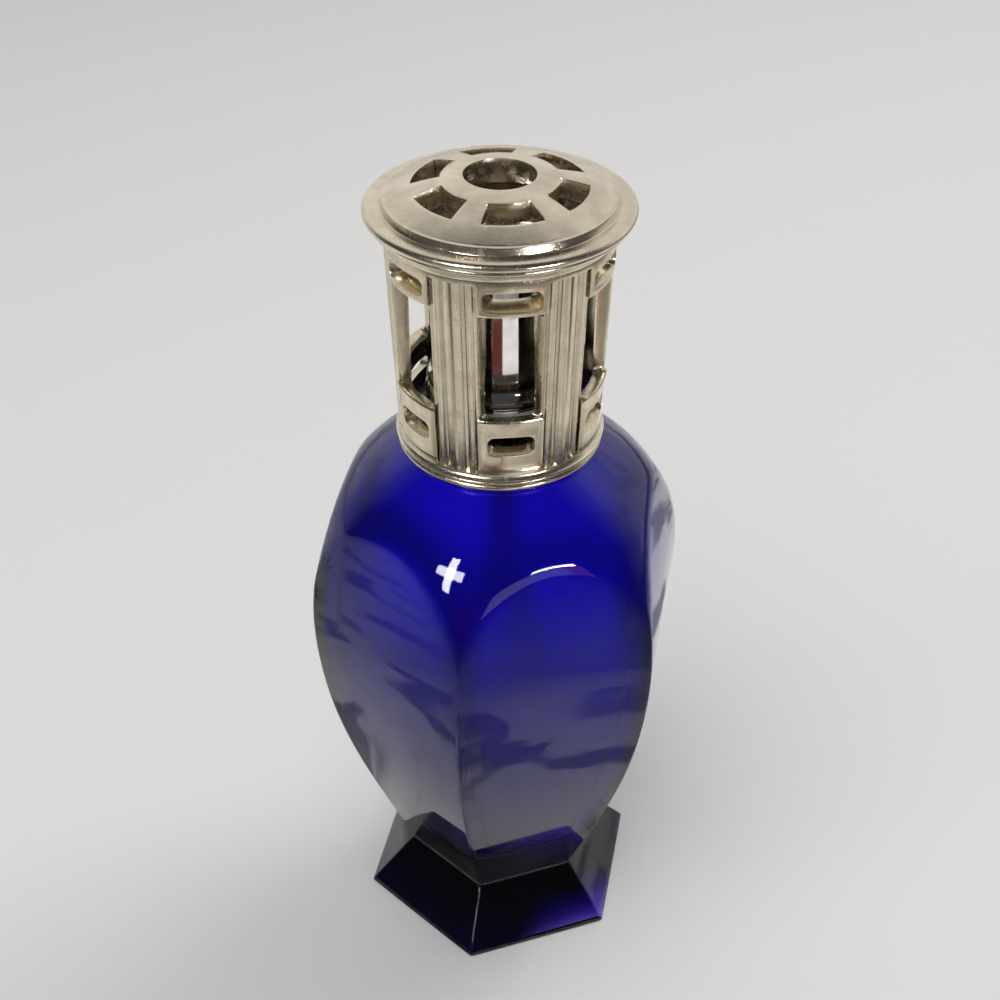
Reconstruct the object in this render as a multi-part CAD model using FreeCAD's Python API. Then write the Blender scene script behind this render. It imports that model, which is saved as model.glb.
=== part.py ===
import FreeCAD, Part
import math
import os

from FreeCAD import Vector

# Catalytic fragrance lamp: a faceted glass bottle on a hexagonal foot, a porous
# burner with a cotton wick, a snuffer cap over the burner, and a cast openwork
# shroud with a vented lid over both. Millimetres, +Z up, the origin at the middle
# of the foot's underside. Azimuth 0 is the -Y side, and grows towards +X.

# ---------------------------------------------------------------- driving sizes
side_count = 6
side_angle = 360.0 / side_count

# foot and body of the bottle
foot_corner_radius = 33.05
waist_corner_radius = 21.8
waist_height = 12.7
foot_edge_round = 0.5
facet_profile = [(18.88, 12.7), (26.4, 36.0), (32.1, 58.0), (34.5, 75.0), (34.9, 90.0), (31.6, 112.0), (26.6, 131.0)]
shoulder_profile = [(47.0, 78.0), (42.1, 92.0), (37.9, 103.0), (32.9, 113.0), (26.2, 120.5), (18.2, 126.0)]
body_top = 126.0
glass_wall = 3.6
shoulder_wall_share = 0.55
cavity_floor = 24.0
cavity_floor_round = 3.0

# neck of the bottle, and the metal collar that is cemented round it
neck_radius = 11.9
neck_bore_radius = 9.9
neck_top = 136.4
neck_bore_depth = 8.0
cement_bottom = 127.4
cement_radius = 12.7
glue_line = 0.02
collar_bottom = 126.1
collar_radius = 14.2
collar_top = 138.6
collar_bore_radius = 9.7
collar_chamfer = 0.5
skirt_inner_radius = 14.25
skirt_outer_radius = 17.1
skirt_bottom = 126.02
skirt_thickness = 0.5
skirt_rise = 0.5

# burner: gasket, metal sleeve, porous stone and wick
gasket_outer_radius = 13.2
gasket_thickness = 0.6
sleeve_radius = 9.4
sleeve_wall = 0.7
sleeve_bottom = 124.0
sleeve_flange_radius = 13.0
sleeve_flange_thickness = 0.8
sleeve_top = 151.0
stone_radius = 8.6
stone_bottom = 118.0
stone_top = 156.0
stone_crown_radius = 7.4
stone_dish_radius = 4.6
stone_dish_depth = 7.0
stone_foot_chamfer = 1.0
stone_crown_chamfer = 0.6
wick_radius = 2.5
wick_socket_radius = 2.6
wick_socket_depth = 10.0
wick_points = [
    (0.0, 0.0, 128.0),
    (0.1, 0.0, 112.0),
    (1.1, -0.4, 96.0),
    (2.7, -1.1, 80.0),
    (4.3, -1.9, 64.0),
    (5.0, -2.4, 49.0),
    (4.8, -2.4, 36.0),
    (4.0, -2.0, 27.0),
]

# snuffer cap
cap_flange_radius = 13.9
cap_flange_thickness = 1.7
cap_radius = 12.3
cap_wall = 0.8
cap_cove = 2.4
cap_top = 167.0
cap_edge_round = 1.6
cap_seat_gap = 0.05

# shroud: a cone of six piers and six windowed bays
shroud_bottom = 126.4
cage_bottom = 130.2
cage_top = 170.8
shroud_bottom_radius = 19.4
shroud_top_radius = 20.9
cage_inner_radius = 17.6
cage_recess = 0.7
pier_recess = 0.55
lower_panel_recess = 0.05
bay_azimuth = 18.0
bay_half_angle = 17.5
pier_half_angle = 10.4
top_band_height = 1.0

# reeds of one pier: (offset across the pier, half width, how far the crest is sunk)
reeds = [(-3.0, 0.78, 0.15), (0.0, 1.68, 0.0), (3.0, 0.78, 0.15)]
reed_edge_drop = 0.42
reed_root_depth = 1.3
reed_fall_off = 0.08

# a bay's panels, window and slots, as half widths and heights
sill_height = 142.5
sill_fall = 0.6
bar_height = 163.95
window_outer_half = 6.15
window_inner_half = 4.5
window_spread = 0.5
window_corner = 1.5
sill_nose = 0.3
sill_thickness = 0.7
panel_foot_height = 1.2
panel_foot_flare = 0.35
upper_slot_height = 166.85
upper_slot_outer = (5.6, 1.85)
upper_slot_inner = (3.8, 1.0)
lower_slot_height = 136.65
lower_slot_outer = (4.55, 2.1)
lower_slot_inner = (3.8, 1.3)
slot_corner_share = 0.75

# moulded ring round the shroud's foot, which stands on the glass round the neck
ring_inner_radius = 17.6
ring_foot_radius = 18.1
ring_foot_bottom = 126.06
ring_waist_height = 128.1
ring_step_height = 128.75
ring_step_radius = 19.9
ring_top_radius = 19.7
ring_bead_centre = (19.05, 127.25)
ring_bead_radius = 0.75
ring_fine_bead_centre = (19.5, 128.35)
ring_fine_bead_radius = 0.32

# lid: turned rim and vented plate
rim_bottom = 170.9
rim_inner_radius = 17.6
rim_neck_radius = 21.0
rim_ledge_height = 174.0
rim_ring_centre = (22.65, 173.4)
rim_ring_radius = 0.55
rim_bead_centre = (23.45, 174.95)
rim_bead_radius = 0.75
rim_torus_centre = (22.3, 174.6)
rim_torus_radius = 1.2
rim_seat_radius = 20.6
plate_edge_radius = 20.5
plate_edge_height = 177.0
plate_hole_radius = 6.5
plate_hole_height = 180.6
plate_middle = (15.7, 178.6)
plate_thickness = 3.0
plate_edge_round = 0.6
vent_inner_radius = 10.5
vent_outer_radius = 15.7
vent_half_angle = 20.3
vent_azimuth = bay_azimuth + 2.5

UP = Vector(0, 0, 1)
AXIS_START = Vector(0, 0, 0)


# ---------------------------------------------------------------- helpers
def revolve_outline(edges, degrees=360.0):
    """Solid swept about Z by a closed outline that lies in the XZ plane."""
    face = Part.Face(Part.Wire(Part.__sortEdges__(edges)))
    return face.revolve(AXIS_START, UP, degrees)


def polygon_edges(points):
    """Closed straight-sided outline through (radius, height) points."""
    corners = [Vector(r, 0, z) for r, z in points]
    corners.append(corners[0])
    return Part.makePolygon(corners).Edges


def turned(points, degrees=360.0):
    return revolve_outline(polygon_edges(points), degrees)


def ring(inner, outer, low, high):
    if inner <= 0:
        return Part.makeCylinder(outer, high - low, Vector(0, 0, low))
    return turned([(inner, low), (outer, low), (outer, high), (inner, high)])


def turned_with_beads(points, beads, cuts=()):
    """Turned outline with round mouldings, each (radius, height) and its own radius, merged in."""
    face = Part.Face(Part.Wire(polygon_edges(points)))
    discs = []
    for centre, radius in beads:
        circle = Part.Circle(Vector(centre[0], 0, centre[1]), Vector(0, -1, 0), radius)
        discs.append(Part.Face(Part.Wire(circle.toShape())))
    face = face.multiFuse(discs)
    for cut in cuts:
        face = face.cut(Part.Face(Part.Wire(polygon_edges(cut))))
    face = face.removeSplitter().Faces[0]
    return face.revolve(AXIS_START, UP, 360)


def at_azimuth(shape, degrees):
    """Copy of a shape built on the -Y side, turned to an azimuth."""
    moved = shape.copy()
    moved.rotate(AXIS_START, UP, degrees)
    return moved


def sector(points, azimuth, half_angle):
    """Turned outline limited to half_angle each side of an azimuth."""
    piece = turned(points, 2 * half_angle)
    return at_azimuth(piece, azimuth - half_angle - 90.0)


def hexagon(corner_radius, height):
    corners = []
    for side in range(side_count + 1):
        angle = math.radians(side * side_angle)
        corners.append(Vector(corner_radius * math.sin(angle), -corner_radius * math.cos(angle), height))
    return Part.makePolygon(corners)


def smooth_edge(points):
    """One smooth edge through (radius, height) points of the XZ plane."""
    curve = Part.BSplineCurve()
    curve.interpolate([Vector(r, 0, z) for r, z in points])
    return curve.toShape()


def line(start, end):
    return Part.LineSegment(Vector(*start), Vector(*end)).toShape()


def volume_of(name, shape):
    print(f"{name}: valid {shape.isValid()}, solids {len(shape.Solids)}, {shape.Volume / 1000:.2f} cm3")


# ---------------------------------------------------------------- bottle
def bowed_prism(wall, low):
    """Hexagonal prism with bowed sides, as three crossed slabs, wall inside the glass."""
    top = facet_profile[-1][1]
    reach = 60.0
    result = None
    for side in range(side_count // 2):
        right = smooth_edge([(r - wall, z) for r, z in facet_profile])
        left = smooth_edge([(wall - r, z) for r, z in facet_profile])
        bottom = facet_profile[0][1]
        half_low = facet_profile[0][0] - wall
        half_high = facet_profile[-1][0] - wall
        base = line((-half_low, 0, bottom), (half_low, 0, bottom))
        cap = line((-half_high, 0, top), (half_high, 0, top))
        face = Part.Face(Part.Wire(Part.__sortEdges__([base, right, cap, left])))
        slab = face.extrude(Vector(0, 2 * reach, 0))
        slab.translate(Vector(0, -reach, 0))
        slab.rotate(AXIS_START, UP, side * side_angle)
        result = slab if result is None else result.common(slab)
    if low > facet_profile[0][1]:
        result = result.common(ring(0, reach, low, top))
    return result


def shoulder_solid(wall):
    """Round body whose outline is the shoulder, wall inside the glass."""
    low = facet_profile[0][1]
    first_r, first_z = shoulder_profile[0]
    last_r, last_z = shoulder_profile[-1]
    drop = shoulder_wall_share * wall
    outline = [
        line((0, 0, low), (first_r - wall, 0, low)),
        line((first_r - wall, 0, low), (first_r - wall, 0, first_z)),
        smooth_edge([(r - wall, z - drop * (z > first_z)) for r, z in shoulder_profile]),
        line((last_r - wall, 0, last_z - drop), (0, 0, last_z - drop)),
        line((0, 0, last_z - drop), (0, 0, low)),
    ]
    return revolve_outline(outline)


def make_bottle():
    foot = Part.makeLoft([hexagon(foot_corner_radius, 0), hexagon(waist_corner_radius, waist_height)], True, True)
    sharp = [edge for edge in foot.Edges if edge.BoundBox.ZMax < waist_height - 1e-3]
    foot = foot.makeFillet(foot_edge_round, sharp)
    body = bowed_prism(0.0, 0.0).common(shoulder_solid(0.0))
    outside = foot.fuse(body).removeSplitter()
    cavity = bowed_prism(glass_wall, cavity_floor).common(shoulder_solid(glass_wall))
    floor_edges = [edge for edge in cavity.Edges if edge.BoundBox.ZMax < cavity_floor + 1e-3]
    cavity = cavity.makeFillet(cavity_floor_round, floor_edges)
    bore = ring(0, neck_bore_radius, body_top - neck_bore_depth, body_top + 1.0)
    return outside.cut(cavity).cut(bore)


def make_bottle_neck():
    """Neck of the same glass, kept as a plain tube that stands on the bottle's top."""
    return ring(neck_bore_radius, neck_radius, body_top, neck_top)


def make_collar_cement():
    return ring(neck_radius + glue_line, cement_radius, cement_bottom, neck_top)


def make_neck_collar():
    inside = cement_radius + glue_line
    throat = neck_top + glue_line
    return turned(
        [
            (inside, collar_bottom),
            (collar_radius, collar_bottom),
            (collar_radius, collar_top - collar_chamfer),
            (collar_radius - collar_chamfer, collar_top),
            (collar_bore_radius, collar_top),
            (collar_bore_radius, throat),
            (inside, throat),
        ]
    )


def make_collar_skirt():
    """Pressed metal ring that lies on the glass round the collar and hides it inside the shroud."""
    low = skirt_bottom
    high = skirt_bottom + skirt_thickness
    middle = (skirt_inner_radius + skirt_outer_radius) / 2
    return turned(
        [
            (skirt_inner_radius, low),
            (skirt_outer_radius, low),
            (skirt_outer_radius, high),
            (middle, high),
            (skirt_inner_radius, high + skirt_rise),
        ]
    )


# ---------------------------------------------------------------- burner
gasket_top = collar_top + gasket_thickness
flange_top = gasket_top + sleeve_flange_thickness


def make_seat_gasket():
    return ring(collar_bore_radius + 0.1, gasket_outer_radius, collar_top, gasket_top)


def make_burner_sleeve():
    inside = sleeve_radius - sleeve_wall
    return turned(
        [
            (inside, sleeve_bottom),
            (sleeve_radius, sleeve_bottom),
            (sleeve_radius, gasket_top),
            (sleeve_flange_radius, gasket_top),
            (sleeve_flange_radius, flange_top),
            (sleeve_radius, flange_top),
            (sleeve_radius, sleeve_top),
            (inside, sleeve_top),
        ]
    )


def make_burner_stone():
    shoulder = sleeve_top + stone_crown_chamfer
    stone = turned(
        [
            (0, stone_bottom),
            (stone_radius - stone_foot_chamfer, stone_bottom),
            (stone_radius, stone_bottom + stone_foot_chamfer),
            (stone_radius, shoulder),
            (stone_crown_radius, shoulder + stone_foot_chamfer),
            (stone_crown_radius, stone_top - stone_crown_chamfer),
            (stone_crown_radius - stone_crown_chamfer, stone_top),
            (stone_dish_radius, stone_top),
            (stone_dish_radius, stone_top - stone_dish_depth),
            (0, stone_top - stone_dish_depth),
        ]
    )
    socket = ring(0, wick_socket_radius, stone_bottom - 1.0, stone_bottom + wick_socket_depth)
    return stone.cut(socket)


def make_wick():
    """Tube of straight runs joined by tangent arcs through wick_points."""
    points = [Vector(*point) for point in wick_points]
    edges = []
    start = points[0]
    for before, corner, after in zip(points, points[1:], points[2:]):
        arrive = (corner - before).normalize()
        leave = (after - corner).normalize()
        half_turn = arrive.getAngle(leave) / 2
        reach = 0.45 * min((corner - before).Length, (after - corner).Length)
        radius = reach / math.tan(half_turn)
        into = corner - arrive * reach
        out = corner + leave * reach
        inward = (leave - arrive).normalize()
        middle = corner + inward * (radius / math.cos(half_turn) - radius)
        edges.append(Part.LineSegment(start, into).toShape())
        edges.append(Part.Arc(into, middle, out).toShape())
        start = out
        print(f"wick bend radius {radius:.0f} mm")
    edges.append(Part.LineSegment(start, points[-1]).toShape())
    path = Part.Wire(edges)
    heading = (points[1] - points[0]).normalize()
    section = Part.Wire(Part.Circle(points[0], heading, wick_radius).toShape())
    tube = path.makePipeShell([section], True, False)
    expected = math.pi * wick_radius**2 * path.Length
    print(f"wick length {path.Length:.1f} mm, volume share {tube.Volume / expected:.4f}")
    return tube


# ---------------------------------------------------------------- snuffer cap
def make_snuffer_cap():
    low = flange_top + cap_seat_gap
    high = low + cap_flange_thickness
    inside = cap_radius - cap_wall
    cove = high + cap_cove
    crown = cap_top - cap_edge_round
    inner_round = cap_edge_round - cap_wall * 0.5
    inner_top = crown + inner_round
    half = math.sqrt(0.5)
    edges = [
        line((inside, 0, low), (cap_flange_radius - 0.5, 0, low)),
        Part.Arc(
            Vector(cap_flange_radius - 0.5, 0, low),
            Vector(cap_flange_radius, 0, (low + high) / 2),
            Vector(cap_flange_radius - 0.5, 0, high),
        ).toShape(),
        Part.Arc(
            Vector(cap_flange_radius - 0.5, 0, high),
            Vector(cap_radius + 0.32, 0, high + cap_cove * 0.35),
            Vector(cap_radius, 0, cove),
        ).toShape(),
        line((cap_radius, 0, cove), (cap_radius, 0, crown)),
        Part.Arc(
            Vector(cap_radius, 0, crown),
            Vector(cap_radius - cap_edge_round * (1 - half), 0, crown + cap_edge_round * half),
            Vector(cap_radius - cap_edge_round, 0, cap_top),
        ).toShape(),
        line((cap_radius - cap_edge_round, 0, cap_top), (0, 0, cap_top)),
        line((0, 0, cap_top), (0, 0, inner_top)),
        line((0, 0, inner_top), (inside - inner_round, 0, inner_top)),
        Part.Arc(
            Vector(inside - inner_round, 0, inner_top),
            Vector(inside - inner_round * (1 - half), 0, crown + inner_round * half),
            Vector(inside, 0, crown),
        ).toShape(),
        line((inside, 0, crown), (inside, 0, low)),
    ]
    return revolve_outline(edges)


# ---------------------------------------------------------------- shroud
shroud_slope = (shroud_top_radius - shroud_bottom_radius) / (cage_top - shroud_bottom)


def cone_radius(height):
    return shroud_bottom_radius + (height - shroud_bottom) * shroud_slope


def cone_wall(sunk, low, high):
    """Outline of the cage's wall: straight inside, coned outside and sunk below the crest."""
    return [
        (cage_inner_radius, low),
        (cone_radius(low) - sunk, low),
        (cone_radius(high) - sunk, high),
        (cage_inner_radius, high),
    ]


def reed_prism(offset, half_width, sunk):
    """One rounded reed, built on the -Y side and leaning with the cone."""
    crest = cone_radius(cage_bottom) - sunk - abs(offset) * reed_fall_off
    edge = crest - reed_edge_drop
    root = crest - reed_root_depth
    left = offset - half_width
    right = offset + half_width
    edges = [
        line((left, -root, cage_bottom), (left, -edge, cage_bottom)),
        Part.Arc(
            Vector(left, -edge, cage_bottom),
            Vector(offset, -crest, cage_bottom),
            Vector(right, -edge, cage_bottom),
        ).toShape(),
        line((right, -edge, cage_bottom), (right, -root, cage_bottom)),
        line((right, -root, cage_bottom), (left, -root, cage_bottom)),
    ]
    height = cage_top - top_band_height - cage_bottom
    face = Part.Face(Part.Wire(edges))
    return face.extrude(Vector(0, -shroud_slope * height, height))


def rounded_outline(half_width, low, high, corner, distance, spread=0.0):
    """Rounded rectangle in a plane facing -Y at a distance from the axis, wider below by spread."""
    y = -distance
    k = corner * (1 - math.sqrt(0.5))
    w = half_width
    v = half_width + spread
    edges = []
    marks = [
        ((-v + corner, low), (v - corner, low), (v - k, low + k), (v, low + corner)),
        ((v, low + corner), (w, high - corner), (w - k, high - k), (w - corner, high)),
        ((w - corner, high), (-w + corner, high), (-w + k, high - k), (-w, high - corner)),
        ((-w, high - corner), (-v, low + corner), (-v + k, low + k), (-v + corner, low)),
    ]
    for start, end, middle, after in marks:
        a, b, c, d = (Vector(x, y, z) for x, z in (start, end, middle, after))
        edges.append(Part.LineSegment(a, b).toShape())
        edges.append(Part.Arc(b, c, d).toShape())
    return Part.Wire(edges)


def tapered_opening(outer, inner, height, overrun=0.4):
    """Slot that narrows through the wall; outer and inner are (half width, half height)."""
    face = cone_radius(height)
    share = overrun / (face - cage_inner_radius)
    near = [a + (a - b) * share for a, b in zip(outer, inner)]
    far = [b - (a - b) * share for a, b in zip(outer, inner)]
    outlines = []
    for (half_width, rise), distance in ((near, face + overrun), (far, cage_inner_radius - overrun)):
        corner = rise * slot_corner_share
        outlines.append(rounded_outline(half_width, height - rise, height + rise, corner, distance))
    return Part.makeLoft(outlines, True, True)


def make_window(overrun=0.8):
    """Window cutter: jambs and sill slope inwards through the wall."""
    face = cone_radius((sill_height + bar_height) / 2) - cage_recess
    depth = face - cage_inner_radius
    taper = (window_outer_half - window_inner_half) / depth
    fall = sill_fall / depth
    near_half = window_outer_half + taper * overrun
    far_half = window_inner_half - taper * overrun
    near_sill = sill_height + fall * overrun
    far_sill = sill_height - sill_fall - fall * overrun
    near = rounded_outline(near_half, near_sill, bar_height, window_corner, face + overrun, 0.0)
    far = rounded_outline(far_half, far_sill, bar_height, window_corner, cage_inner_radius - overrun, window_spread)
    return Part.makeLoft([near, far], True, True)


def make_bay():
    """Upper and lower panel of one bay, before its openings are cut."""
    upper = sector(cone_wall(0.0, bar_height, cage_top), 0.0, bay_half_angle)
    lower = sector(cone_wall(lower_panel_recess, cage_bottom, sill_height), 0.0, bay_half_angle)
    foot_top = cage_bottom + panel_foot_height
    foot = sector(
        [
            (cone_radius(cage_bottom) - 1.0, cage_bottom),
            (cone_radius(cage_bottom) + panel_foot_flare, cage_bottom),
            (cone_radius(foot_top), foot_top),
            (cone_radius(foot_top) - 1.0, foot_top),
        ],
        0.0,
        bay_half_angle,
    )
    nose_low = sill_height - sill_thickness
    nose_middle = sill_height - sill_thickness / 2
    nose = sector(
        [
            (cone_radius(nose_low) - 1.0, nose_low),
            (cone_radius(nose_low), nose_low),
            (cone_radius(nose_middle) + sill_nose, nose_middle),
            (cone_radius(sill_height) + sill_nose * 0.4, sill_height),
            (cone_radius(sill_height) - 1.0, sill_height),
        ],
        0.0,
        bay_half_angle,
    )
    return upper.multiFuse([lower, foot, nose])


def make_shroud_cage():
    cage = turned(cone_wall(cage_recess, cage_bottom, cage_top))
    band = turned(cone_wall(0.0, cage_top - top_band_height, cage_top))
    additions = [band]
    bay = make_bay()
    pier = sector(cone_wall(pier_recess, cage_bottom, cage_top), 0.0, pier_half_angle)
    for side in range(side_count):
        azimuth = bay_azimuth + side * side_angle
        additions.append(at_azimuth(bay, azimuth))
        additions.append(at_azimuth(pier, azimuth + side_angle / 2))
        for offset, half_width, sunk in reeds:
            additions.append(at_azimuth(reed_prism(offset, half_width, sunk), azimuth + side_angle / 2))
    cage = cage.multiFuse(additions)
    openings = []
    bay_openings = [
        make_window(),
        tapered_opening(upper_slot_outer, upper_slot_inner, upper_slot_height),
        tapered_opening(lower_slot_outer, lower_slot_inner, lower_slot_height),
    ]
    for side in range(side_count):
        azimuth = bay_azimuth + side * side_angle
        openings.extend(at_azimuth(opening, azimuth) for opening in bay_openings)
    return cage.cut(openings).removeSplitter()


def make_base_ring():
    outline = [
        (ring_inner_radius, ring_foot_bottom),
        (ring_foot_radius, ring_foot_bottom),
        (ring_bead_centre[0], shroud_bottom),
        (shroud_bottom_radius, ring_waist_height),
        (shroud_bottom_radius, ring_step_height),
        (ring_step_radius, ring_step_height),
        (ring_top_radius, cage_bottom),
        (ring_inner_radius, cage_bottom),
    ]
    beads = [(ring_bead_centre, ring_bead_radius), (ring_fine_bead_centre, ring_fine_bead_radius)]
    return turned_with_beads(outline, beads)


# ---------------------------------------------------------------- lid
def make_lid_rim():
    torus_radius, torus_height = rim_torus_centre
    outline = [
        (rim_inner_radius, rim_bottom),
        (rim_neck_radius, rim_bottom),
        (rim_neck_radius, rim_bottom + 1.6),
        rim_ring_centre,
        rim_bead_centre,
        (torus_radius, torus_height),
        (rim_seat_radius, torus_height),
        (rim_seat_radius, rim_ledge_height),
        (rim_inner_radius, rim_ledge_height),
    ]
    beads = [
        (rim_ring_centre, rim_ring_radius),
        (rim_bead_centre, rim_bead_radius),
        (rim_torus_centre, rim_torus_radius),
    ]
    seat = [
        (rim_inner_radius - 1.0, rim_ledge_height),
        (rim_seat_radius, rim_ledge_height),
        (rim_seat_radius, plate_hole_height),
        (rim_inner_radius - 1.0, plate_hole_height),
    ]
    return turned_with_beads(outline, beads, [seat])


def make_vent_plate():
    low = rim_ledge_height + glue_line
    crest = (plate_edge_radius - plate_edge_round * 0.7, plate_edge_height)
    edge = (plate_edge_radius, plate_edge_height - plate_edge_round)
    shoulder = (plate_edge_radius - plate_edge_round * 0.2, plate_edge_height - plate_edge_round * 0.4)
    inner_low = (plate_hole_radius, plate_hole_height - plate_thickness)
    inner_top = (plate_hole_radius, plate_hole_height)

    def at(point):
        return Vector(point[0], 0, point[1])

    outline = [
        Part.LineSegment(at(inner_low), at(inner_top)).toShape(),
        Part.Arc(at(inner_top), at(plate_middle), at(crest)).toShape(),
        Part.Arc(at(crest), at(shoulder), at(edge)).toShape(),
        Part.LineSegment(at(edge), at((plate_edge_radius, low))).toShape(),
        Part.LineSegment(at((plate_edge_radius, low)), at((rim_inner_radius, low))).toShape(),
        Part.LineSegment(at((rim_inner_radius, low)), at(inner_low)).toShape(),
    ]
    plate = revolve_outline(outline)
    span = plate_hole_height + 2.0
    vents = []
    for side in range(side_count):
        vent = sector(
            [
                (vent_inner_radius, rim_ledge_height - 2.0),
                (vent_outer_radius, rim_ledge_height - 2.0),
                (vent_outer_radius, span),
                (vent_inner_radius, span),
            ],
            vent_azimuth + side * side_angle,
            vent_half_angle,
        )
        vents.append(vent)
    return plate.cut(vents)


# ---------------------------------------------------------------- output
makers = {
    "bottle": make_bottle,
    "bottle_neck": make_bottle_neck,
    "collar_cement": make_collar_cement,
    "neck_collar": make_neck_collar,
    "collar_skirt": make_collar_skirt,
    "seat_gasket": make_seat_gasket,
    "burner_sleeve": make_burner_sleeve,
    "burner_stone": make_burner_stone,
    "wick": make_wick,
    "snuffer_cap": make_snuffer_cap,
    "base_ring": make_base_ring,
    "shroud_cage": make_shroud_cage,
    "lid_rim": make_lid_rim,
    "vent_plate": make_vent_plate,
}

os.makedirs("parts", exist_ok=True)
for name, maker in makers.items():
    shape = maker()
    if shape.ShapeType == "Compound" and len(shape.Solids) == 1:
        shape = shape.Solids[0]
    volume_of(name, shape)
    shape.exportStep(f"parts/{name}.step")
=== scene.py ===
# %% [markdown]
# # A catalytic fragrance lamp
# A faceted cobalt glass bottle stands on a hexagonal foot. A pierced nickel shroud covers
# the burner on its neck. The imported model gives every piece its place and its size, in
# metres, and this file adds the looks: real glass walls, cast and polished nickel, a
# porous stone and a cotton wick.

# %% Load the fixed frame
import math

import bmesh
import bpy
import numpy as np
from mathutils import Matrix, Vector


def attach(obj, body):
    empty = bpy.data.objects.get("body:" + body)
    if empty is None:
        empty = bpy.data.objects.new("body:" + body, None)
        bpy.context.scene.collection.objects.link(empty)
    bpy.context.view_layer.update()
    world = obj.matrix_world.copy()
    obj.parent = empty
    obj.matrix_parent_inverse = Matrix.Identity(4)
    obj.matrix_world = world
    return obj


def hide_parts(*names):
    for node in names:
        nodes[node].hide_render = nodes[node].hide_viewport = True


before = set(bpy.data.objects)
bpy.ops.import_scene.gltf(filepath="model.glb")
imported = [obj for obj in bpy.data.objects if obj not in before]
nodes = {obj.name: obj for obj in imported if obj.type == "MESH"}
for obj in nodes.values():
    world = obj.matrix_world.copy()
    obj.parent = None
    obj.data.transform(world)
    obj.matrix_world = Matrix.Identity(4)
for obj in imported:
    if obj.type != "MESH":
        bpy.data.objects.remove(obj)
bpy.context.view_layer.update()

MM = 0.001

# %% [markdown]
# ## The camera
# A small object on a table is seen from above and close by, so its sides converge
# downwards. A camera that stands off the axis by its own azimuth, and looks down at the
# middle of the lamp, gives that view. The lens is a normal one, neither wide nor long.

# %% Camera
scene = bpy.context.scene
CAMERA_AZIMUTH = math.radians(12.0)
CAMERA_DISTANCE = 226 * MM
CAMERA_HEIGHT = 283.2 * MM
LOOK_DOWN = math.radians(37.53)
CAMERA_LENS = 50.43

camera_data = bpy.data.cameras.new("camera")
camera_data.lens = CAMERA_LENS
camera_data.clip_start = 0.01
camera = bpy.data.objects.new("camera", camera_data)
camera.location = (
    CAMERA_DISTANCE * math.sin(CAMERA_AZIMUTH),
    -CAMERA_DISTANCE * math.cos(CAMERA_AZIMUTH),
    CAMERA_HEIGHT,
)
camera.rotation_euler = (math.pi / 2 - LOOK_DOWN, 0, CAMERA_AZIMUTH)
scene.collection.objects.link(camera)
scene.camera = camera
print("camera height in mm:", round(CAMERA_HEIGHT / MM))

# %% [markdown]
# ## The wick
# The wick is a braided cotton cord that hangs from the stone into the oil. A curve is the
# natural way to hold a cord's own line. It is drawn as one smooth spline led by the same
# points as the tube in the model, and gets its braid from the material.

# %% Wick
WICK_DIAMETER = 5.0
WICK_POINTS = [
    (0.0, 0.0, 128.0),
    (0.1, 0.0, 112.0),
    (1.1, -0.4, 96.0),
    (2.7, -1.1, 80.0),
    (4.3, -1.9, 64.0),
    (5.0, -2.4, 49.0),
    (4.8, -2.4, 36.0),
    (4.0, -2.0, 27.0),
]
wick_curve = bpy.data.curves.new("wick_braid", "CURVE")
wick_curve.dimensions = "3D"
wick_curve.bevel_depth = 1.0  # the radius of each point, in metres, sets the thickness
wick_curve.bevel_resolution = 6
wick_curve.use_fill_caps = True
wick_spline = wick_curve.splines.new("NURBS")
wick_spline.points.add(len(WICK_POINTS) - 1)
for spline_point, place in zip(wick_spline.points, WICK_POINTS):
    spline_point.co = (*(value * MM for value in place), 1.0)
    spline_point.radius = WICK_DIAMETER / 2 * MM
wick_spline.order_u = 3
wick_spline.use_endpoint_u = True
wick_spline.resolution_u = 12
wick = bpy.data.objects.new("wick_braid", wick_curve)
scene.collection.objects.link(wick)
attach(wick, "burner")
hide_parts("wick")
print("wick points:", len(WICK_POINTS))

# %% [markdown]
# ## Floor
# Glass and nickel show the room more than themselves, so the table top matters. It is
# plain and pale to the eye. Mirror rays see more on it: painted shadow over the front,
# painted bands of shadow and light, and a few veins, like a marble top in a half-lit room.
# Rays through the glass see painted shade near the lamp, and a painted glow on the far part
# behind the lamp and under the foot's right side. One material does all three, with masks
# laid along X, Y and the azimuth.


# %% Stage helpers
def link(tree, source, target):
    tree.links.new(source, target)


def plain_material(name, colour, roughness):
    material = bpy.data.materials.new(name)
    material.use_nodes = True
    surface = material.node_tree.nodes["Principled BSDF"]
    surface.inputs["Base Color"].default_value = (*colour, 1)
    surface.inputs["Roughness"].default_value = roughness
    return material


def ramp_along(tree, source, start, end):
    """A soft step from 0 at start to 1 at end."""
    step = tree.nodes.new("ShaderNodeMapRange")
    step.interpolation_type = "SMOOTHSTEP"
    step.inputs["From Min"].default_value = start
    step.inputs["From Max"].default_value = end
    link(tree, source, step.inputs["Value"])
    return step.outputs["Result"]


def arithmetic(tree, operation, *sources):
    """One Math node, fed with numbers or sockets."""
    node = tree.nodes.new("ShaderNodeMath")
    node.operation = operation
    for socket, source in zip(node.inputs, sources):
        if isinstance(source, (int, float)):
            socket.default_value = source
        else:
            link(tree, source, socket)
    return node.outputs[0]


def stage_mix(tree, factor, first, second):
    """One colour or the other, each a tuple or a socket."""
    node = tree.nodes.new("ShaderNodeMix")
    node.data_type = "RGBA"
    link(tree, factor, node.inputs["Factor"])
    for name, colour in (("A", first), ("B", second)):
        if isinstance(colour, tuple):
            node.inputs[name].default_value = (*colour, 1)
        else:
            link(tree, colour, node.inputs[name])
    return node.outputs["Result"]


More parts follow.
